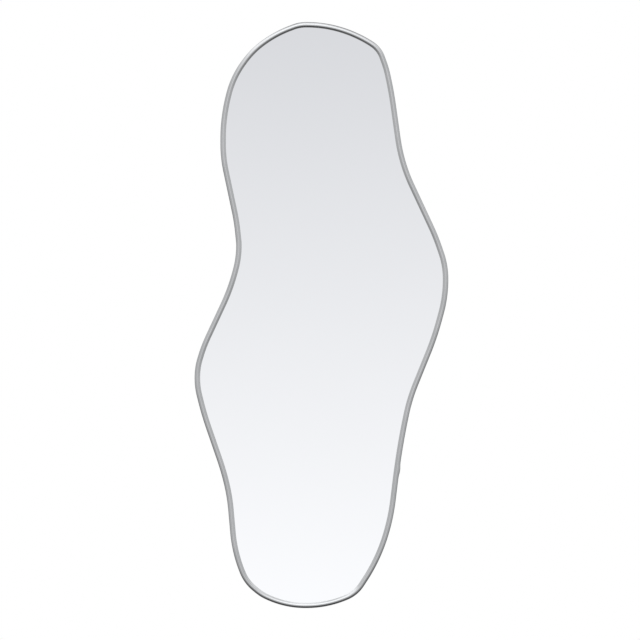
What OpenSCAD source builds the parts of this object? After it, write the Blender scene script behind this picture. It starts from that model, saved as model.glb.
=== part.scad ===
// A free-form wall mirror in a thin metal frame, in millimetres.
// The front faces -Y, the wall is the plane Y = 0, Z is up and the origin is the middle of the
// wall plane. Everything is drawn lying on the wall plane (x across, y up, z away from the wall)
// and then stood up by upright().

$fn = 96;

/* [Overall size] */
// Width across the frame
mirror_w = 660; // [560:10:760]
// Height over the frame
mirror_h = 1524; // [1300:10:1750]
// Depth from the wall to the crest of the frame
frame_depth = 30; // [29:0.5:40]

/* [Outline] */
// Width that the outline below is drawn for
drawn_w = 660;
// Height that the outline below is drawn for
drawn_h = 1524;
// Points where the outer edge runs straight for a moment: x, y and heading in degrees,
// going anticlockwise as seen from the front. One round bend joins each point to the next.
outline = [
    [330, 93, 90], [313, 179, 109], [253, 315, 115], [207, 453, 99], [200, 502, 98],
    [182, 613, 102], [169, 661, 110], [134, 711, 147], [96, 732, 155], [-39, 762, 180],
    [-85, 752, 201], [-155, 714, 216], [-206, 663, 233], [-249, 571, 256], [-263, 446, 270],
    [-241, 305, 282], [-225, 216, 276], [-222, 181, 270], [-229, 124, 256], [-284, -17, 245],
    [-320, -103, 253], [-330, -163, 270], [-321, -224, 284], [-288, -330, 289], [-255, -434, 284],
    [-240, -537, 275], [-212, -671, 292], [-177, -718, 320], [-145, -739, 335], [-41, -762, 0],
    [68, -740, 23], [114, -699, 57], [176, -566, 74], [196, -459, 83], [228, -259, 78],
    [277, -119, 68], [314, -12, 75]
];
// Shortest straight run on each side of a point of the outline
straight_min = 1; // [0.6:0.1:2]

/* [Frame] */
// Width of the rounded front face
face_w = 14.5; // [13:0.5:15.5]
// Thickness of the frame's metal
metal_t = 2; // [1.5:0.1:2.5]
// Width of the flange that turns in at the rear
flange_w = 4.5; // [4:0.1:5]
// Thickness of that flange
flange_t = 1.5; // [1:0.1:2]
// How far the flange's outer edge lies inside the side wall's face
flange_ease = 0.3; // [0.2:0.05:0.4]
// Height of the frame's rear rim above the wall
rim_lift = 1.5; // [1:0.1:2]

/* [Glass and board] */
// Height of the board's rear face above the wall
board_lift = 7; // [6.6:0.1:7.5]
// Thickness of the board
board_t = 9; // [8:0.5:10]
// Thickness of the foam tape
tape_t = 1; // [0.8:0.1:1.5]
// Thickness of the safety film on the glass
film_t = 0.25; // [0.2:0.05:0.5]
// Thickness of the glass
glass_t = 4; // [3:0.5:5]
// Gap between the frame's rear flange and the edge of the board as it goes in
board_clear = 0.5; // [0.3:0.1:1]
// How far the glass stops inside the board's edge
glass_set_back = 0.5; // [0.3:0.1:1]
// Largest distance between a plate's edge and its true curve
edge_tolerance = 0.1; // [0.05:0.05:0.2]
// Width of a foam tape strip
tape_w = 25; // [15:1:30]
// Foam tape strips: x of the middle, y of the lower end, y of the upper end
tapes = [[-195, -540, 590], [-100, -690, 690], [0, -725, 730], [100, -630, 690], [190, -230, 390]];

/* [Retaining clips] */
// Width of a clip
clip_w = 14; // [10:1:18]
// Thickness of a clip
clip_t = 1; // [0.8:0.1:1.2]
// Distance from the frame's outer edge to the far end of a clip
clip_reach = 22; // [21:0.5:26]
// Distance from the frame's outer edge to a clip's screw
clip_screw_at = 16; // [15:0.5:17]
// Gap between a clip's toe and the frame's side wall
toe_clear = 0.6; // [0.4:0.1:1]
// How far a clip's toe reaches past the flange before it ramps up
toe_past = 1; // [0.5:0.1:1.2]

/* [Screws] */
// Radius of a clip or bumper screw
screw_r = 1.75; // [1.5:0.05:1.8]
// Radius of its head
screw_head_r = 3.25; // [3:0.05:3.4]
// Height of its head
screw_head_h = 2; // [1.6:0.1:2]
// Length of a clip or bumper screw under its head
screw_l = 8; // [7:0.5:8]
// Radius of a hanger screw
hanger_screw_r = 2; // [1.8:0.05:2.1]
// Radius of its head
hanger_head_r = 3.75; // [3.5:0.05:4]
// Height of its head
hanger_head_h = 2.2; // [1.8:0.1:2.4]
// Length of a hanger screw under its head
hanger_screw_l = 9; // [8:0.5:9]
// Radial clearance of a screw in the board
screw_fit = 0.05; // [0.02:0.01:0.08]
// Radial clearance of a screw in metal or rubber
screw_pass = 0.2; // [0.15:0.05:0.3]
// Length of the pointed end of a screw
screw_point = 2.5; // [1.5:0.5:3]
// Depth of a pilot hole below the screw's point
pilot_extra = 0.4; // [0.2:0.1:0.5]
// Width of a slot in a screw's cross recess
recess_w = 0.9; // [0.6:0.1:1]
// Depth of the cross recess
recess_d = 1.2; // [0.8:0.1:1.2]

/* [Hangers] */
// Distance between the two hanging rings
hanger_gap = 280; // [160:10:340]
// Distance of the point between the rings from the middle, over the centre of mass
hanger_mid = -10; // [-30:1:30]
// Height of the rings' pivots above the middle
hanger_y = 470; // [300:10:560]
// Width of a hanger strap
strap_w = 16; // [13:1:17]
// Thickness of a hanger strap
strap_t = 1.4; // [1.2:0.1:1.5]
// Distance from the pivot to the end of the strap
strap_l = 40; // [38:1:60]
// Distance from the pivot to the first screw
strap_screw_1 = 11; // [10.5:0.5:12]
// Distance from the pivot to the second screw
strap_screw_2 = 29; // [26:0.5:30]
// Gap between the end of the rolled loop and the strap
roll_gap = 0.4; // [0.3:0.1:0.6]
// Radius of the ring's wire
wire_r = 1.6; // [1.4:0.05:1.6]
// Radial clearance of the wire in the rolled loop
wire_fit = 0.06; // [0.03:0.01:0.1]
// Radius of the ring's round end, to the middle of the wire
ring_r = 12; // [11:0.5:16]
// Radius of the bends next to the pivot bar, to the middle of the wire
ring_bend_r = 3; // [2:0.1:3.5]
// Length of the ring's straight legs
ring_leg = 3; // [1:0.5:10]
// Gap left between the resting ring and the board
ring_rest_gap = 0.1; // [0.05:0.01:0.2]

/* [Bumpers] */
// Places of the rubber bumpers: x, y
bumpers = [[-150, 635], [105, 635], [-195, -520], [135, -520]];
// Radius of a bumper at the board
bumper_r = 8; // [7:0.5:10]
// Radius of a bumper at the wall
bumper_tip_r = 6.5; // [5.5:0.5:7]
// Depth of the hole that hides a bumper's screw head
bumper_sink = 4; // [3:0.5:5]
// Radial clearance around that screw head
bumper_head_clear = 0.5; // [0.3:0.1:1]

/* [Parts] */
// Every separate piece
// Piece to draw, or all

/* [Hidden] */
// Points of the outline that carry a clip, in the order of the clips' names
clip_points = [9, 13, 16, 19, 22, 25, 29, 32, 34, 0, 2, 4];
// How far each straight run goes into the bends beside it, and how much slimmer it is,
// so that the pieces of the frame's sweep meet inside each other
sink = 0.5;
hair = 0.1;
// Margin by which a cutting shape passes what it cuts
over = 1;

scale_x = mirror_w / drawn_w;
scale_y = mirror_h / drawn_h;
tape_z = board_lift + board_t;
film_z = tape_z + tape_t;
glass_z = film_z + film_t;
lip_z = glass_z + glass_t;
bow_z = frame_depth - face_w / 2;
wall_z = rim_lift + flange_t / 3;
board_inset = flange_w + board_clear;
glass_inset = board_inset + glass_set_back;
loop_r = wire_r + wire_fit + strap_t;
pivot_z = board_lift - loop_r;
ring_height = ring_bend_r + ring_leg + ring_r;
ring_lean = asin((loop_r - wire_r - ring_rest_gap) / ring_height);
hanger_x = [hanger_mid - hanger_gap / 2, hanger_mid + hanger_gap / 2];

knots = [
    for (k = outline)
        [k[0] * scale_x, k[1] * scale_y, atan2(sin(k[2]) * scale_y, cos(k[2]) * scale_x)]
];
count = len(knots);

// Directions along and to the left of a heading
function along(a) = [cos(a), sin(a)];
function left(a) = [-sin(a), cos(a)];
function wedge(a, b) = a[0] * b[1] - a[1] * b[0];

// The bend from point k to point m: its start, heading, turn, radius (negative where the
// outline is hollow), end and last heading
function bend(k, m) =
    let (
        p = [k[0], k[1]],
        q = [m[0], m[1]],
        s = along(k[2]),
        t = along(m[2]),
        turn = asin(wedge(s, t)),
        from_p = wedge(q - p, t) / wedge(s, t),
        to_q = wedge(s, q - p) / wedge(s, t),
        run = min(from_p, to_q) - straight_min,
        corner = p + s * from_p
    )
    [corner - s * run, k[2], turn, run / tan(turn / 2), corner + t * run, m[2]];

bends = [for (i = [0:count - 1]) bend(knots[i], knots[(i + 1) % count])];

// Points along one bend, a distance d inside the outline, clear of the bend's two ends
function bend_points(b, d) =
    let (
        r = b[3] - d,
        n = max(1, ceil(abs(b[2]) * PI / 180 / sqrt(8 * edge_tolerance / abs(r)))),
        centre = b[0] + left(b[1]) * b[3]
    )
    [for (i = [0.5:n]) centre - left(b[1] + b[2] * i / n) * r];

module upright() {
    rotate([90, 0, 0])
        children();
}

// Puts its children at a point of the outline, x along the edge and y inwards
module at_point(i) {
    translate([knots[i][0], knots[i][1], 0])
        rotate([0, 0, knots[i][2]])
            children();
}

// A flat plate with the outline's shape, a distance d inside it
module plate(d, z, t) {
    translate([0, 0, z])
        linear_extrude(t)
            polygon([for (b = bends) each bend_points(b, d)]);
}

// Cross-section of the frame's side wall, half-round bow and front lip.
// way is 1 where the inside of the mirror lies at larger coordinates and -1 where it does not.
module rim_section(at, way, slim) {
    middle = at + way * face_w / 2;
    bow = bow_z - slim / 10;
    function u(x) = at + way * x;
    difference() {
        union() {
            intersection() {
                translate([middle, bow])
                    circle(r = face_w / 2 - slim);
                translate([middle - face_w, bow])
                    square([2 * face_w, face_w]);
            }
            polygon([
                [u(slim), wall_z + slim],
                [u(slim), bow],
                [u(face_w - slim), bow],
                [u(face_w - slim), lip_z + slim],
                [u(metal_t - slim), lip_z + slim],
                [u(metal_t - slim), wall_z + slim]
            ]);
        }
        polygon([
            [u(metal_t - slim), wall_z],
            [u(metal_t - slim), bow],
            [u(face_w - metal_t + slim), bow],
            [u(face_w - metal_t + slim), wall_z]
        ]);
        translate([middle, bow])
            circle(r = face_w / 2 - metal_t + slim);
    }
}

// The bend after a point of the outline
module rim_bend(b) {
    hollow = b[3] < 0;
    centre = b[0] + left(b[1]) * b[3];
    translate([centre[0], centre[1], 0])
        rotate_extrude(angle = abs(b[2]), start = hollow ? b[1] + 90 + b[2] : b[1] - 90)
            rim_section(abs(b[3]), hollow ? 1 : -1, 0);
}

// The straight run between one bend and the next
module rim_run(b, next) {
    start = b[4] - sink * along(b[5]);
    translate([start[0], start[1], 0])
        rotate([90, 0, 90 + b[5]])
            linear_extrude(norm(next[0] - b[4]) + 2 * sink)
                rim_section(0, 1, hair);
}

module frame_rim() {
    color([0.72, 0.73, 0.74])
        upright() {
            for (i = [0:count - 1]) {
                rim_bend(bends[i]);
                rim_run(bends[i], bends[(i + 1) % count]);
            }
            difference() {
                plate(flange_ease, rim_lift, flange_t);
                plate(flange_w, rim_lift - over, flange_t + 2 * over);
            }
        }
}

module mirror_glass() {
    color([0.86, 0.88, 0.9])
        upright()
            plate(glass_inset, glass_z, glass_t);
}

module backing_film() {
    color([0.45, 0.5, 0.55])
        upright()
            plate(glass_inset, film_z, film_t);
}

module mounting_tapes() {
    color([0.95, 0.95, 0.93])
        upright()
            for (t = tapes)
                translate([t[0] * scale_x - tape_w / 2, t[1] * scale_y, tape_z])
                    cube([tape_w, (t[2] - t[1]) * scale_y, tape_t]);
}

// A pan-head screw whose head sits on z = 0 and whose shank points up
module pan_screw(r, l, head_r, head_h) {
    chamfer = head_h / 3;
    difference() {
        rotate_extrude()
            polygon([
                [0, -head_h],
                [head_r - chamfer, -head_h],
                [head_r, chamfer - head_h],
                [head_r, 0],
                [r, 0],
                [r, l - screw_point],
                [0, l]
            ]);
        for (a = [0, 90])
            rotate([0, 0, a])
                translate([-head_r / 2, -recess_w / 2, -head_h - over])
                    cube([head_r, recess_w, recess_d + over]);
    }
}

// Pilot hole in the board for a screw whose head sits at height head_z
module pilot(r, head_z, l) {
    translate([0, 0, board_lift - over])
        cylinder(r = r + screw_fit, h = head_z + l + pilot_extra - board_lift + over);
}

module at_strap_screws() {
    for (x = hanger_x)
        for (d = [strap_screw_1, strap_screw_2])
            translate([x, hanger_y - d, 0])
                children();
}

module at_bumpers() {
    for (p = bumpers)
        translate([p[0] * scale_x, p[1] * scale_y, 0])
            children();
}

module back_board() {
    color([0.62, 0.48, 0.33])
        upright()
            difference() {
                plate(board_inset, board_lift, board_t);
                for (i = clip_points)
                    at_point(i)
                        translate([0, clip_screw_at, 0])
                            pilot(screw_r, board_lift - clip_t, screw_l);
                at_strap_screws()
                    pilot(hanger_screw_r, board_lift - strap_t, hanger_screw_l);
                at_bumpers()
                    pilot(screw_r, bumper_sink, screw_l);
            }
}

// A bent steel leaf: the toe lies under the frame's flange and the foot on the board
module clip(i) {
    toe_z = rim_lift + flange_t;
    rise = board_lift - clip_t - toe_z;
    toe_end = flange_w + toe_past;
    color([0.7, 0.7, 0.68])
        upright()
            at_point(clip_points[i])
                difference() {
                    translate([-clip_w / 2, 0, 0])
                        rotate([90, 0, 90])
                            linear_extrude(clip_w)
                                polygon([
                                    [metal_t + toe_clear, toe_z],
                                    [toe_end + clip_t / 2, toe_z],
                                    [toe_end + clip_t / 2 + rise, board_lift - clip_t],
                                    [clip_reach, board_lift - clip_t],
                                    [clip_reach, board_lift],
                                    [toe_end + rise, board_lift],
                                    [toe_end, toe_z + clip_t],
                                    [metal_t + toe_clear, toe_z + clip_t]
                                ]);
                    translate([0, clip_screw_at, board_lift - clip_t - over])
                        cylinder(r = screw_r + screw_pass, h = clip_t + 2 * over);
                }
}

module clip_screws() {
    color([0.78, 0.76, 0.7])
        upright()
            for (i = clip_points)
                at_point(i)
                    translate([0, clip_screw_at, board_lift - clip_t])
                        pan_screw(screw_r, screw_l, screw_head_r, screw_head_h);
}

// A steel strap whose upper end is rolled round the ring's wire
module hanger(x) {
    end_y = strap_l - strap_w / 2;
    color([0.75, 0.75, 0.76])
        upright()
            translate([x, hanger_y, 0])
                difference() {
                    union() {
                        translate([-strap_w / 2, 0, pivot_z])
                            rotate([0, 90, 0])
                                cylinder(r = loop_r, h = strap_w);
                        translate([-strap_w / 2, -end_y, board_lift - strap_t])
                            cube([strap_w, end_y, strap_t]);
                        translate([0, -end_y, board_lift - strap_t])
                            cylinder(r = strap_w / 2, h = strap_t);
                    }
                    translate([-strap_w / 2 - over, 0, pivot_z])
                        rotate([0, 90, 0])
                            cylinder(r = wire_r + wire_fit, h = strap_w + 2 * over);
                    translate([-strap_w / 2 - over, -loop_r - over, board_lift - strap_t - roll_gap])
                        cube([strap_w + 2 * over, loop_r + over, roll_gap]);
                    for (d = [strap_screw_1, strap_screw_2])
                        translate([0, -d, board_lift - strap_t - over])
                            cylinder(r = hanger_screw_r + screw_pass, h = strap_t + 2 * over);
                }
}

// A D-shaped wire ring, drawn flat with its pivot bar along x through the origin
module wire_ring() {
    bar = ring_r - ring_bend_r;
    translate([-bar, 0, 0])
        rotate([0, 90, 0])
            cylinder(r = wire_r, h = 2 * bar);
    translate([bar, ring_bend_r, 0])
        rotate([0, 0, -90])
            rotate_extrude(angle = 90)
                translate([ring_bend_r, 0])
                    circle(r = wire_r);
    translate([-bar, ring_bend_r, 0])
        rotate([0, 0, 180])
            rotate_extrude(angle = 90)
                translate([ring_bend_r, 0])
                    circle(r = wire_r);
    for (side = [-1, 1])
        translate([side * ring_r, ring_bend_r, 0])
            rotate([-90, 0, 0])
                cylinder(r = wire_r, h = ring_leg);
    translate([0, ring_bend_r + ring_leg, 0])
        rotate_extrude(angle = 180)
            translate([ring_r, 0])
                circle(r = wire_r);
}

// The ring points up and leans on the board, as it does when the mirror hangs
module ring(x) {
    color([0.8, 0.8, 0.82])
        upright()
            translate([x, hanger_y, pivot_z])
                rotate([ring_lean, 0, 0])
                    wire_ring();
}

module hanger_screws() {
    color([0.78, 0.76, 0.7])
        upright()
            at_strap_screws()
                translate([0, 0, board_lift - strap_t])
                    pan_screw(hanger_screw_r, hanger_screw_l, hanger_head_r, hanger_head_h);
}

// A tapered rubber bumper with a sunk screw
module bumper(i) {
    color([0.12, 0.12, 0.13])
        upright()
            translate([bumpers[i][0] * scale_x, bumpers[i][1] * scale_y, 0])
                difference() {
                    cylinder(r1 = bumper_tip_r, r2 = bumper_r, h = board_lift);
                    translate([0, 0, -over])
                        cylinder(r = screw_head_r + bumper_head_clear, h = bumper_sink + over);
                    translate([0, 0, -over])
                        cylinder(r = screw_r + screw_pass, h = board_lift + 2 * over);
                }
}

module bumper_screws() {
    color([0.78, 0.76, 0.7])
        upright()
            at_bumpers()
                translate([0, 0, bumper_sink])
                    pan_screw(screw_r, screw_l, screw_head_r, screw_head_h);
}

frame_rim();
mirror_glass();
backing_film();
mounting_tapes();
back_board();
clip(0);  // clip_top
clip(1);  // clip_upper_left
clip(2);  // clip_waist_left
clip(3);  // clip_left
clip(4);  // clip_hip_left
clip(5);  // clip_foot_left
clip(6);  // clip_bottom
clip(7);  // clip_foot_right
clip(8);  // clip_hip_right
clip(9);  // clip_right
clip(10);  // clip_shoulder_right
clip(11);  // clip_upper_right
clip_screws();
hanger(hanger_x[0]);  // hanger_left
hanger(hanger_x[1]);  // hanger_right
ring(hanger_x[0]);  // ring_left
ring(hanger_x[1]);  // ring_right
hanger_screws();
bumper(0);  // bumper_top_left
bumper(1);  // bumper_top_right
bumper(2);  // bumper_low_left
bumper(3);  // bumper_low_right
bumper_screws();
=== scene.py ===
"""Looks for a free-form wall mirror: a satin silver frame, silvered glass and the hardware behind them."""

import math

import bpy
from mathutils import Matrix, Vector


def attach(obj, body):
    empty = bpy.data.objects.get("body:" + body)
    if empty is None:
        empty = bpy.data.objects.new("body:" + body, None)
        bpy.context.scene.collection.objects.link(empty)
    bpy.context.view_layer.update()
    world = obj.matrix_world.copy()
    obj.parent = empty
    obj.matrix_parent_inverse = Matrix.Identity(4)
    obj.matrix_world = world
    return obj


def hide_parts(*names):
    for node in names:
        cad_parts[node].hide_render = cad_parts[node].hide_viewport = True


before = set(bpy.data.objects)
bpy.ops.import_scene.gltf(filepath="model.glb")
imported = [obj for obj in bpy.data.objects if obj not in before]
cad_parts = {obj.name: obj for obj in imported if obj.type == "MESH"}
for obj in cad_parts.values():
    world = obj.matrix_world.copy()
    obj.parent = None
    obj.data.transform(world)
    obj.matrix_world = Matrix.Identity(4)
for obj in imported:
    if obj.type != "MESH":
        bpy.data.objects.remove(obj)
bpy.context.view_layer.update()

MM = 0.001

# Outer edge of the frame: x, y up and heading in degrees where it runs straight for a moment,
# anticlockwise as seen from the front. One round bend joins each point to the next.
OUTLINE = [
    (330, 93, 90), (313, 179, 109), (253, 315, 115), (207, 453, 99), (200, 502, 98),
    (182, 613, 102), (169, 661, 110), (134, 711, 147), (96, 732, 155), (-39, 762, 180),
    (-85, 752, 201), (-155, 714, 216), (-206, 663, 233), (-249, 571, 256), (-263, 446, 270),
    (-241, 305, 282), (-225, 216, 276), (-222, 181, 270), (-229, 124, 256), (-284, -17, 245),
    (-320, -103, 253), (-330, -163, 270), (-321, -224, 284), (-288, -330, 289), (-255, -434, 284),
    (-240, -537, 275), (-212, -671, 292), (-177, -718, 320), (-145, -739, 335), (-41, -762, 0),
    (68, -740, 23), (114, -699, 57), (176, -566, 74), (196, -459, 83), (228, -259, 78),
    (277, -119, 68), (314, -12, 75),
]
# Shortest straight run at a point, and the distance between the points of the finished outline
STRAIGHT_MIN = 1
STATION_STEP = 3

# Section of the frame, in millimetres: x inwards from the outer edge, height from the wall
FACE_W = 14.5
METAL_T = 2
FLANGE_W = 4.5
RIM_LIFT = 1.5
FLANGE_TOP = 3
LIP_Z = 21.25
BOW_Z = 22.75
EDGE_R = 0.4
BOW_STEPS = 26
HOLLOW_STEPS = 12
EDGE_STEPS = 3

# Angle in degrees from which the frame's shading breaks at an edge
CORNER_ANGLE = 50

# The dressed joint that closes the frame: its place, length and height over the outer edge
JOINT_AT = (201, -403)
JOINT_LENGTH = 42
JOINT_RISE = 1.8

# Small rounded edges of the pieces behind the glass: their width in millimetres
CLIP_EASE = 0.18
SCREW_EASE = 0.1
HANGER_EASE = 0.2
BUMPER_EASE = 0.8
BOARD_EASE = 0.6

# How they are rounded: points closer than the gap, in millimetres, become one, faces that meet at less
# than the flat angle merge, and edges from the edge angle on are rounded. Large faces lead the shading.
WELD_GAP = 0.002
FLAT_ANGLE = 1
EDGE_ANGLE = 40
LARGE_FACE_WEIGHT = 100

# Drawing lines on the metal: how often they change in a metre, along the bar and across it
DRAWN_GRAIN = (6, 900, 1)

# Depth of the relief in the materials, in metres
GRAIN_DEPTH = 0.0002
SCRATCH_DEPTH = 0.0001

# Camera: the photograph is 640 pixels wide, 2.6 mm each, and the object stands a little off its middle
PIXEL_MM = 2.6
IMAGE_PX = 640
OFF_CENTRE_PX = (1.47, 4.96)
CAMERA_DISTANCE = 16
CAMERA_REACH = 100
SENSOR_MM = 36

# What the metal sees of the room, as pairs of a direction's height (-1 is straight down) and the light
# that comes from it: in front of the mirror, at its two sides, behind it, and on a far wall back there
ROOM_MIDDLE = [
    (-0.9, 0.09), (-0.7, 0.09), (-0.5, 0.5), (-0.3, 0.7), (0, 0.66),
    (0.15, 1.08), (0.3, 1.5), (0.6, 1.4), (0.8, 0.75), (1, 1.2),
]
ROOM_SIDES = [(-0.9, 0.09), (-0.5, 0.27), (-0.3, 0.43), (0, 0.56), (0.3, 0.55), (0.7, 0.9), (1, 0.7)]
ROOM_BEHIND = [(-0.5, 0.03), (-0.3, 0.12), (0, 0.32), (0.3, 0.44), (0.5, 0.46), (0.7, 0.38), (0.9, 0.04)]
ROOM_BEYOND = [(-0.6, 0.3), (0, 0.65), (0.6, 0.8)]

# Where the middle gives way to the sides, the front to what is behind, and that to the far wall,
# as the part of a direction that points sideways or backwards
SIDES_FADE = (0.1, 0.3)
BEHIND_FADE = (-0.1, 0.3)
BEYOND_FADE = (0.5, 0.8)

# A long strip light high on the left, which runs from front to back: its angle in degrees as seen from
# the front, how bright it is, and where it fades out to its two edges and in from below
STRIP_ANGLE = 125
STRIP_LEVEL = 0.33
STRIP_EDGE_FADE = (0.1, 0.3)
STRIP_FOOT_FADE = (0.25, 0.45)

# What the glass sees in front of it: height of the direction and screen colour
CARD = [
    (-1, (226, 227, 230)), (-0.3, (240, 241, 244)), (-0.046, (255, 255.5, 258)),
    (0.046, (219.5, 220.5, 224.5)), (0.2, (208, 209, 213)), (1, (226, 227, 231)),
]
# A ray that the glass has mirrored only once comes to the room with a depth under this
CARD_DEPTH = 2.5

# Light that falls on matte surfaces from all round
ROUND_LIGHT = 0.85

# Floor, in metres: it fades out towards its rim, and part of what the camera sees of it glows white
FLOOR_Z = -1.05
FLOOR_R = 3.2
FLOOR_FADE_FROM = 1.2
FLOOR_SIDES = 96
FLOOR_GLOW_SHARE = 0.5
FLOOR_GREY = 0.9
FLOOR_ROUGHNESS = 0.9

# Lamps: name, place and width in metres, and power in watts
LAMPS = [
    ("key", (-2.6, -3.4, 3.2), 2.2, 60),
    ("fill", (3.2, -2.6, 1.6), 2.6, 30),
    ("back", (1.6, 3.6, 2.4), 2.4, 45),
]

# A Mix node's colour sockets, which share their names with those of its other data types
MIX_A = 6
MIX_B = 7
MIX_RESULT = 2


def grey(level):
    """A neutral colour, as bright as the level."""
    return (level, level, level, 1)


def tone(red, green, blue):
    """An 8-bit screen colour as the linear colour that Blender works in, by the sRGB curve."""
    return tuple(
        c / 255 / 12.92 if c <= 10 else ((c / 255 + 0.055) / 1.055) ** 2.4 for c in (red, green, blue)
    ) + (1,)


# Outline


def along(heading):
    """Unit vector along a heading in degrees."""
    return Vector((math.cos(math.radians(heading)), math.sin(math.radians(heading))))


def left(heading):
    """Unit vector to the left of a heading, which is into the mirror."""
    return along(heading + 90)


def wedge(a, b):
    """Sine of the turn from one vector to another, times their lengths."""
    return a.x * b.y - a.y * b.x


def bend(point, following):
    """Start, heading, turn, radius (negative where hollow), end and last heading of one bend."""
    p, q = Vector(point[:2]), Vector(following[:2])
    s, t = along(point[2]), along(following[2])
    turn = math.degrees(math.asin(wedge(s, t)))
    from_p = wedge(q - p, t) / wedge(s, t)
    to_q = wedge(s, q - p) / wedge(s, t)
    run = min(from_p, to_q) - STRAIGHT_MIN
    corner = p + s * from_p
    radius = run / math.tan(math.radians(turn / 2))
    return corner - s * run, point[2], turn, radius, corner + t * run, following[2]


def stations():
    """Points on the outer edge a few millimetres apart, each with its heading."""
    bends = [bend(p, OUTLINE[(i + 1) % len(OUTLINE)]) for i, p in enumerate(OUTLINE)]
    found = []
    for i, (start, heading, turn, radius, end, last) in enumerate(bends):
        steps = max(2, math.ceil(abs(radius * math.radians(turn)) / STATION_STEP))
        centre = start + left(heading) * radius
        for k in range(steps):
            angle = heading + turn * k / steps
            found.append((centre - left(angle) * radius, angle))
        run = bends[(i + 1) % len(bends)][0] - end
        steps = max(1, math.ceil(run.length / STATION_STEP))
        for k in range(steps):
            found.append((end + run * (k / steps), last))
    return found


# Frame


def arc(cx, cy, radius, first, last, steps):
    """Points on a circle in the section's plane, angles in degrees."""
    angles = [math.radians(first + (last - first) * k / steps) for k in range(steps + 1)]
    return [(cx + radius * math.cos(a), cy + radius * math.sin(a)) for a in angles]


def frame_section():
    """The frame's closed section, with its sheared edges eased."""
    middle = FACE_W / 2
    lip_inner = FACE_W - METAL_T
    return (
        arc(EDGE_R, RIM_LIFT + EDGE_R, EDGE_R, 270, 180, EDGE_STEPS)
        + arc(middle, BOW_Z, middle, 180, 0, BOW_STEPS)
        + arc(FACE_W - EDGE_R, LIP_Z + EDGE_R, EDGE_R, 0, -90, EDGE_STEPS)
        + arc(lip_inner + EDGE_R, LIP_Z + EDGE_R, EDGE_R, 270, 180, EDGE_STEPS)
        + arc(middle, BOW_Z, middle - METAL_T, 0, 180, HOLLOW_STEPS)
        + [(METAL_T, FLANGE_TOP)]
        + arc(FLANGE_W - EDGE_R, FLANGE_TOP - EDGE_R, EDGE_R, 90, 0, EDGE_STEPS)
        + arc(FLANGE_W - EDGE_R, RIM_LIFT + EDGE_R, EDGE_R, 0, -90, EDGE_STEPS)
    )


def joint_rise(point):
    """How far the closing joint swells the outer edge at a point."""
    reach = (point - Vector(JOINT_AT)).length / (JOINT_LENGTH / 2)
    return JOINT_RISE * math.cos(reach * math.pi / 2) ** 2 if reach < 1 else 0


def section_row(section, point, heading):
    """The section's points in metres where the frame passes a point of the outer edge."""
    inward = left(heading)
    rise = joint_rise(point)
    row = []
    for depth, height in section:
        spot = point + inward * (depth - rise * (1 - depth / FACE_W))
        row.append(Vector((spot.x, -height, spot.y)) * MM)
    return row


def ring_mesh(name, rows, lengths):
    """A closed tube through rows of points, with a UV map in metres: along it, and round its section."""
    around = len(rows[0])
    girth = [0]
    for a, b in zip(rows[0], rows[0][1:] + rows[0][:1]):
        girth.append(girth[-1] + (b - a).length)
    faces = []
    uvs = []
    for i in range(len(rows)):
        j = (i + 1) % len(rows)
        for k in range(around):
            m = (k + 1) % around
            faces.append((i * around + k, j * around + k, j * around + m, i * around + m))
            uvs += [
                (lengths[i], girth[k]), (lengths[i + 1], girth[k]),
                (lengths[i + 1], girth[k + 1]), (lengths[i], girth[k + 1]),
            ]
    mesh = bpy.data.meshes.new(name)
    mesh.from_pydata([point for row in rows for point in row], [], faces)
    layer = mesh.uv_layers.new(name="along")
    for loop, uv in zip(layer.data, uvs):
        loop.uv = uv
    mesh.validate()
    mesh.shade_smooth()
    return mesh


def build_frame():
    """The whole frame as one ring, which stands for the CAD frame."""
    section = frame_section()
    path = stations()
    rows = [section_row(section, point, heading) for point, heading in path]
    lengths = [0]
    for i, (point, heading) in enumerate(path):
        lengths.append(lengths[-1] + (path[(i + 1) % len(path)][0] - point).length * MM)
    piece = bpy.data.objects.new("frame_metal_ring", ring_mesh("frame_metal_ring", rows, lengths))
    bpy.context.scene.collection.objects.link(piece)
    corners = piece.modifiers.new("corners", "EDGE_SPLIT")
    corners.split_angle = math.radians(CORNER_ANGLE)
    piece.data.materials.append(satin_silver())
    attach(piece, "mirror")
    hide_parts("frame_rim")


# Shader nodes


def start_material(name):
    """A new material with its node tree and its surface shader."""
    material = bpy.data.materials.new(name)
    material.use_nodes = True
    return material, material.node_tree, material.node_tree.nodes["Principled BSDF"]


def fill(tree, socket, value):
    """Links a socket to another node's socket, or sets it to a value."""
    if isinstance(value, bpy.types.NodeSocket):
        tree.links.new(value, socket)
    else:
        socket.default_value = value


def add(tree, kind, inputs=(), **settings):
    """A new node with its settings and inputs; an input is a value or another node's socket."""
    node = tree.nodes.new(kind)
    for key, value in settings.items():
        setattr(node, key, value)
    for key, value in dict(inputs).items():
        fill(tree, node.inputs[key], value)
    return node


def stretched(tree, vector, stretch):
    """A vector with each of its parts multiplied."""
    return add(tree, "ShaderNodeMapping", {"Vector": vector, "Scale": stretch}).outputs[0]


def place(tree, stretch=(1, 1, 1)):
    """Position on the object in metres, stretched for grain that runs one way."""
    return stretched(tree, add(tree, "ShaderNodeTexCoord").outputs["Object"], stretch)


def noise(tree, vector, scale, detail=4, roughness=0.55, distortion=0):
    """Noise at a place, from 0 to 1, mostly near its middle."""
    inputs = {
        "Vector": vector, "Scale": scale, "Detail": detail, "Roughness": roughness, "Distortion": distortion,
    }
    return add(tree, "ShaderNodeTexNoise", inputs).outputs["Fac"]


def spread(tree, value, low, high, start=0.3, stop=0.7):
    """Maps a value from one range, a noise's if none is given, onto another."""
    inputs = {"Value": value, "From Min": start, "From Max": stop, "To Min": low, "To Max": high}
    return add(tree, "ShaderNodeMapRange", inputs).outputs["Result"]


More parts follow.
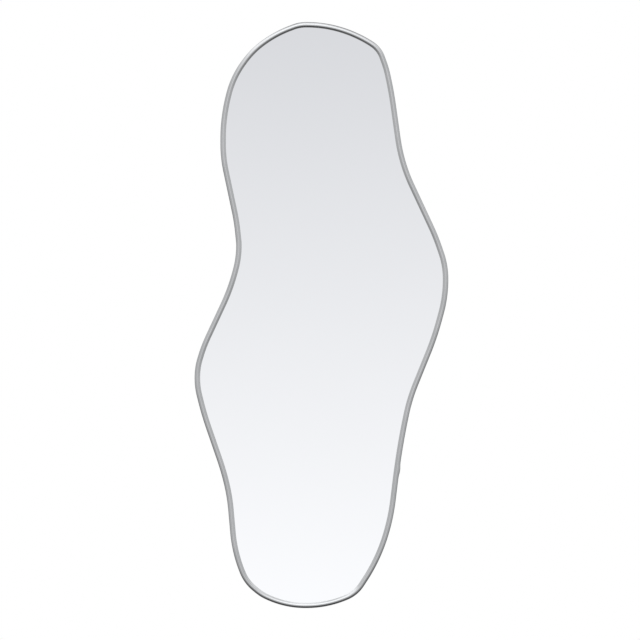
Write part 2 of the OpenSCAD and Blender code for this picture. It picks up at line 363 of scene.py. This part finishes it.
def ramp(tree, value, stops):
    """A colour ramp; stops are (position, colour). A stop that is added gets its position afterwards."""
    node = add(tree, "ShaderNodeValToRGB", {"Fac": value})
    elements = node.color_ramp.elements
    while len(elements) < len(stops):
        elements.new(0.5)
    for element, (position, colour) in zip(elements, stops):
        element.position = position
        element.color = colour
    return node.outputs["Color"]


def bump(tree, height, strength, distance=GRAIN_DEPTH, normal=None):
    """A surface direction from a relief, on top of another one if it is given."""
    node = add(tree, "ShaderNodeBump", {"Height": height, "Strength": strength, "Distance": distance})
    if normal:
        tree.links.new(normal, node.inputs["Normal"])
    return node.outputs["Normal"]


def maths(tree, operation, *values):
    """Result of a Math node."""
    return add(tree, "ShaderNodeMath", dict(enumerate(values)), operation=operation).outputs[0]


def vector_maths(tree, operation, output, *values):
    """Result of a Vector Math node, from its output Vector or Value."""
    node = add(tree, "ShaderNodeVectorMath", dict(enumerate(values)), operation=operation)
    return node.outputs[output]


def mix_colours(tree, factor, a, b, blend="MIX"):
    """The first colour where the factor is 0, and where it is 1 the second one laid on it."""
    node = add(tree, "ShaderNodeMix", data_type="RGBA", blend_type=blend)
    fill(tree, node.inputs["Factor"], factor)
    fill(tree, node.inputs[MIX_A], a)
    fill(tree, node.inputs[MIX_B], b)
    return node.outputs[MIX_RESULT]


def tinted(tree, base, tint):
    """One colour multiplied by another."""
    return mix_colours(tree, 1, base, tint, "MULTIPLY")


def mix_shaders(tree, factor, a, b):
    """The first shader where the factor is 0, and the second one where it is 1."""
    node = add(tree, "ShaderNodeMixShader", {"Fac": factor})
    fill(tree, node.inputs[1], a)
    fill(tree, node.inputs[2], b)
    return node.outputs[0]


def light_path(tree, name):
    """One output of a Light Path node."""
    return add(tree, "ShaderNodeLightPath").outputs[name]


# Materials


def coat(tree, surface, colour, roughness, normal):
    """Gives a surface its colour, roughness and relief."""
    fill(tree, surface.inputs["Base Color"], colour)
    fill(tree, surface.inputs["Roughness"], roughness)
    fill(tree, surface.inputs["Normal"], normal)


def satin_silver():
    """Satin-polished metal with faint drawing lines along the bar."""
    material, tree, surface = start_material("satin_silver")
    where = add(tree, "ShaderNodeUVMap", uv_map="along").outputs["UV"]
    drawn = noise(tree, stretched(tree, where, DRAWN_GRAIN), scale=1, detail=3)
    cloud = noise(tree, place(tree), scale=14, detail=3)
    silver = ramp(tree, cloud, [(0.3, tone(221, 223, 225)), (0.7, tone(230, 231, 233.5))])
    coat(tree, surface, silver, spread(tree, drawn, 0.11, 0.16), bump(tree, drawn, strength=0.05))
    surface.inputs["Metallic"].default_value = 1
    return material


def silvered_glass():
    """Silvered float glass: a sharp reflection, with a barely uneven tone."""
    material, tree, surface = start_material("silvered_glass")
    film = noise(tree, place(tree), scale=3, detail=2)
    silver = ramp(tree, film, [(0.3, tone(251.5, 252, 252)), (0.7, tone(252, 252.5, 252.5))])
    fill(tree, surface.inputs["Base Color"], silver)
    surface.inputs["Metallic"].default_value = 1
    surface.inputs["Roughness"].default_value = 0
    return material


def fibreboard():
    """Pressed wood fibres: curled strands, dark bark specks, pale fluff and a barely uneven tone."""
    material, tree, surface = start_material("fibreboard")
    where = place(tree)
    slanted = place(tree, stretch=(2.5, 1, 0.7))
    strands = noise(tree, where, scale=340, detail=5, roughness=0.7, distortion=1.6)
    crossing = noise(tree, slanted, scale=520, detail=4, roughness=0.65, distortion=0.8)
    specks = noise(tree, where, scale=900, detail=2, roughness=0.5, distortion=0.4)
    cloud = noise(tree, where, scale=5, detail=5, roughness=0.6)
    fibres = [
        (0.3, tone(139, 109, 77)), (0.48, tone(158, 127, 92)),
        (0.6, tone(170, 139, 103)), (0.74, tone(188, 158, 122)),
    ]
    base = ramp(tree, strands, fibres)
    base = tinted(tree, base, ramp(tree, crossing, [(0.34, tone(233, 228, 222)), (0.6, grey(1))]))
    base = tinted(tree, base, ramp(tree, specks, [(0.27, tone(168, 150, 130)), (0.34, grey(1))]))
    base = tinted(tree, base, ramp(tree, cloud, [(0.35, tone(246, 243, 240)), (0.65, grey(1))]))
    relief = bump(tree, crossing, strength=0.25, normal=bump(tree, strands, strength=0.2))
    coat(tree, surface, base, spread(tree, strands, 0.7, 0.88), relief)
    return material


def plated_steel(name, dark, light, smoothest, roughest, grain=180):
    """Plated steel: patchy plating, fine scratches and a mottled sheen."""
    material, tree, surface = start_material(name)
    patches = noise(tree, place(tree), scale=grain)
    scratches = noise(tree, place(tree, stretch=(1, 1, 0.08)), scale=1800, detail=2)
    plating = ramp(tree, patches, [(0.35, dark), (0.65, light)])
    relief = bump(tree, scratches, strength=0.12, distance=SCRATCH_DEPTH)
    coat(tree, surface, plating, spread(tree, scratches, smoothest, roughest), relief)
    surface.inputs["Metallic"].default_value = 1
    return material


def matte(name, dark, light, scale, strength, smoothest=0.7, roughest=0.85):
    """A matte plastic, foam or rubber with a fine grain."""
    material, tree, surface = start_material(name)
    grain = noise(tree, place(tree), scale=scale, detail=5, roughness=0.6)
    colour = ramp(tree, grain, [(0.35, dark), (0.65, light)])
    coat(tree, surface, colour, spread(tree, grain, smoothest, roughest), bump(tree, grain, strength))
    return material


# Pieces behind the glass


def eased(node, material, body, width, segments=2):
    """A copy of a CAD node with small rounded edges, which then stands for the node."""
    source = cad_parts[node]
    mesh = source.data.copy()
    mesh.name = node + "_eased"
    piece = bpy.data.objects.new(node + "_eased", mesh)
    bpy.context.scene.collection.objects.link(piece)
    weld = piece.modifiers.new("weld", "WELD")
    weld.merge_threshold = WELD_GAP * MM
    flatten = piece.modifiers.new("flatten", "DECIMATE")
    flatten.decimate_type = "DISSOLVE"
    flatten.angle_limit = math.radians(FLAT_ANGLE)
    ease = piece.modifiers.new("ease", "BEVEL")
    ease.width = width * MM
    ease.segments = segments
    ease.limit_method = "ANGLE"
    ease.angle_limit = math.radians(EDGE_ANGLE)
    level = piece.modifiers.new("level", "WEIGHTED_NORMAL")
    level.mode = "FACE_AREA"
    level.weight = LARGE_FACE_WEIGHT
    mesh.shade_smooth()
    mesh.materials.clear()
    mesh.materials.append(material)
    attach(piece, body)
    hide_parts(node)


def dress(node, material):
    """Puts a material on a CAD node that stays."""
    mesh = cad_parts[node].data
    mesh.materials.clear()
    mesh.materials.append(material)


def dress_everything():
    """Eases or dresses every CAD node but the frame, which has a piece of its own."""
    zinc = plated_steel(
        "zinc_plate", tone(176, 177, 176), tone(206, 206, 202), smoothest=0.28, roughest=0.42,
    )
    nickel = plated_steel(
        "nickel_plate", tone(188, 186, 182), tone(208, 206, 202), smoothest=0.16, roughest=0.26, grain=60,
    )
    screw = plated_steel(
        "screw_plate", tone(186, 180, 160), tone(214, 208, 190), smoothest=0.22, roughest=0.36,
    )
    rubber = matte("bumper_rubber", tone(30, 30, 32), tone(44, 44, 46), scale=900, strength=0.3)
    film = matte(
        "safety_film", tone(160, 168, 176), tone(172, 180, 188),
        scale=300, strength=0.1, smoothest=0.4, roughest=0.5,
    )
    foam = matte("foam_tape", tone(228, 228, 224), tone(240, 240, 236), scale=1500, strength=0.5)
    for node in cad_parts:
        if node.startswith("clip_") and node != "clip_screws":
            eased(node, zinc, "mirror", CLIP_EASE)
        elif node.endswith("screws"):
            eased(node, screw, "mirror", SCREW_EASE)
        elif node.startswith("hanger_"):
            eased(node, nickel, "mirror", HANGER_EASE)
        elif node.startswith("ring_"):
            dress(node, nickel)
        elif node.startswith("bumper_"):
            eased(node, rubber, "mirror", BUMPER_EASE, segments=3)
    eased("back_board", fibreboard(), "mirror", BOARD_EASE)
    dress("mirror_glass", silvered_glass())
    dress("backing_film", film)
    dress("mounting_tapes", foam)


# Stage, light and camera


def ramp_position(height):
    """Where a direction's height, from -1 to 1, lies on a ramp from 0 to 1."""
    return (height + 1) / 2


def by_height(tree, height, table):
    """Light from a table of heights."""
    return ramp(tree, height, [(ramp_position(at), grey(light)) for at, light in table])


def towards(tree, direction, axis):
    """How far a direction points along an axis, from -1 to 1."""
    return vector_maths(tree, "DOT_PRODUCT", "Value", direction, axis)


def strip_light(tree, direction):
    """How much of the strip light lies in a direction."""
    x, z = along(STRIP_ANGLE)
    aside = maths(tree, "ABSOLUTE", towards(tree, direction, (z, 0, -x)))
    narrow = spread(tree, aside, 1, 0, *STRIP_EDGE_FADE)
    upper = spread(tree, towards(tree, direction, (x, 0, z)), 0, 1, *STRIP_FOOT_FADE)
    return maths(tree, "MULTIPLY", narrow, upper)


def metal_room(tree, direction, height, parts):
    """The room that the metal reflects: its middle, its sides, what is behind, and the strip light."""
    sideways = spread(tree, maths(tree, "ABSOLUTE", parts["X"]), 0, 1, *SIDES_FADE)
    behind = spread(tree, parts["Y"], 0, 1, *BEHIND_FADE)
    beyond = spread(tree, parts["Y"], 0, 1, *BEYOND_FADE)
    room = by_height(tree, height, ROOM_MIDDLE)
    room = mix_colours(tree, sideways, room, by_height(tree, height, ROOM_SIDES))
    room = mix_colours(tree, behind, room, by_height(tree, height, ROOM_BEHIND))
    room = mix_colours(tree, beyond, room, by_height(tree, height, ROOM_BEYOND))
    strip = maths(tree, "MULTIPLY", strip_light(tree, direction), STRIP_LEVEL)
    return vector_maths(tree, "ADD", "Vector", room, strip)


def build_world():
    """A room for the metal, a soft card for the glass, white for the camera."""
    world = bpy.data.worlds.new("studio")
    bpy.context.scene.world = world
    world.use_nodes = True
    tree = world.node_tree
    direction = add(tree, "ShaderNodeTexCoord").outputs["Generated"]
    parts = add(tree, "ShaderNodeSeparateXYZ", {"Vector": direction}).outputs
    height = spread(tree, parts["Z"], 0, 1, -1, 1)
    room = metal_room(tree, direction, height, parts)
    card = ramp(tree, height, [(ramp_position(at), tone(*colour)) for at, colour in CARD])
    once = maths(tree, "LESS_THAN", light_path(tree, "Ray Depth"), CARD_DEPTH)
    mirrored = maths(tree, "MULTIPLY", light_path(tree, "Is Singular Ray"), once)
    light = mix_colours(tree, light_path(tree, "Is Glossy Ray"), grey(ROUND_LIGHT), room)
    light = mix_colours(tree, mirrored, light, card)
    light = mix_colours(tree, light_path(tree, "Is Camera Ray"), light, grey(1))
    background = tree.nodes["Background"]
    tree.links.new(light, background.inputs["Color"])
    background.inputs["Strength"].default_value = 1


def build_floor():
    """A plain pale floor that keeps a soft shadow and fades into the white backdrop."""
    bpy.ops.mesh.primitive_circle_add(
        vertices=FLOOR_SIDES, radius=FLOOR_R, fill_type="NGON", location=(0, 0, FLOOR_Z),
    )
    floor = bpy.context.object
    floor.name = "floor"
    material, tree, surface = start_material("pale_floor")
    surface.inputs["Base Color"].default_value = grey(FLOOR_GREY)
    surface.inputs["Roughness"].default_value = FLOOR_ROUGHNESS
    glow = add(tree, "ShaderNodeEmission", {"Color": grey(1), "Strength": 1}).outputs[0]
    clear = add(tree, "ShaderNodeBsdfTransparent").outputs[0]
    share = maths(tree, "MULTIPLY", light_path(tree, "Is Camera Ray"), FLOOR_GLOW_SHARE)
    seen = mix_shaders(tree, share, surface.outputs[0], glow)
    seen = mix_shaders(tree, light_path(tree, "Is Glossy Ray"), seen, clear)
    reach = vector_maths(tree, "LENGTH", "Value", place(tree))
    seen = mix_shaders(tree, spread(tree, reach, 0, 1, FLOOR_FADE_FROM, FLOOR_R), seen, clear)
    tree.links.new(seen, tree.nodes["Material Output"].inputs["Surface"])
    floor.data.materials.append(material)


def add_lamp(name, spot, size, power):
    """A soft round lamp that faces the mirror and shows in no reflection."""
    data = bpy.data.lights.new(name, "AREA")
    data.shape = "DISK"
    data.size = size
    data.energy = power
    lamp = bpy.data.objects.new(name, data)
    bpy.context.scene.collection.objects.link(lamp)
    lamp.location = spot
    lamp.rotation_euler = (-Vector(spot)).to_track_quat("-Z", "Y").to_euler()
    lamp.visible_glossy = False


def build_camera():
    """A long lens straight in front, which frames the object as the photograph does."""
    data = bpy.data.cameras.new("camera")
    data.sensor_width = SENSOR_MM
    data.lens = SENSOR_MM * CAMERA_DISTANCE / (IMAGE_PX * PIXEL_MM * MM)
    data.clip_end = CAMERA_REACH
    camera = bpy.data.objects.new("camera", data)
    bpy.context.scene.collection.objects.link(camera)
    right, up = (px * PIXEL_MM * MM for px in OFF_CENTRE_PX)
    camera.location = (-right, -CAMERA_DISTANCE - BOW_Z * MM, -up)
    camera.rotation_euler = (math.pi / 2, 0, 0)
    bpy.context.scene.camera = camera


build_frame()
dress_everything()
build_world()
build_floor()
for lamp in LAMPS:
    add_lamp(*lamp)
build_camera()
bpy.context.scene.view_settings.view_transform = "Standard"
